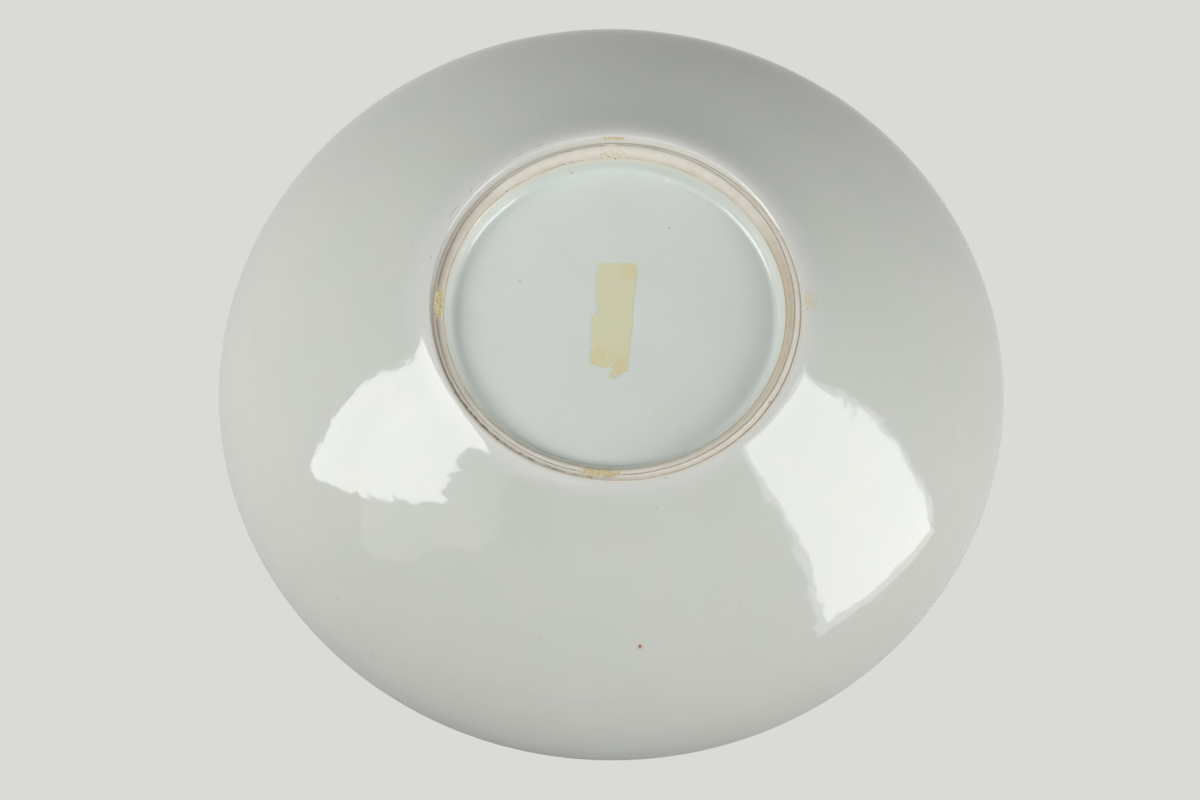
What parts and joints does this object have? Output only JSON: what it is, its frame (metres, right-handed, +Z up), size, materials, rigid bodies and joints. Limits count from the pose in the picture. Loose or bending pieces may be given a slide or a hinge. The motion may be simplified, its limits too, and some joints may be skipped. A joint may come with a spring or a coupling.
{
  "type": "porcelain bowl",
  "caption": "Shallow round white porcelain bowl with a flared wall, a glossy pale celadon-white glaze and a low foot ring with a bare clay resting edge.",
  "frame": {"origin": "centre of the foot's resting face, on the surface that the bowl stands on", "axes": "+Z up along the bowl's axis of turning, out of its mouth; +X to the right in the picture"},
  "size_m": [0.25, 0.25, 0.06],
  "materials": {
    "clay": "bare fired porcelain clay, matt, stained brown in places",
    "glaze": "glossy pale greenish white glaze",
    "tape": "old yellowed tape residue",
    "glue": "dried yellow glue"
  },
  "bodies": {
    "root": {"clay_body": "clay", "inner_glaze": "glaze", "outer_glaze": "glaze", "base_glaze": "glaze", "tape_residue": "tape", "glue_dab_back": "glue", "glue_dab_left": "glue", "glue_dab_front": "glue", "glue_dab_skirt": "glue", "glue_dab_wall": "glue"}
  },
  "joints": []
}
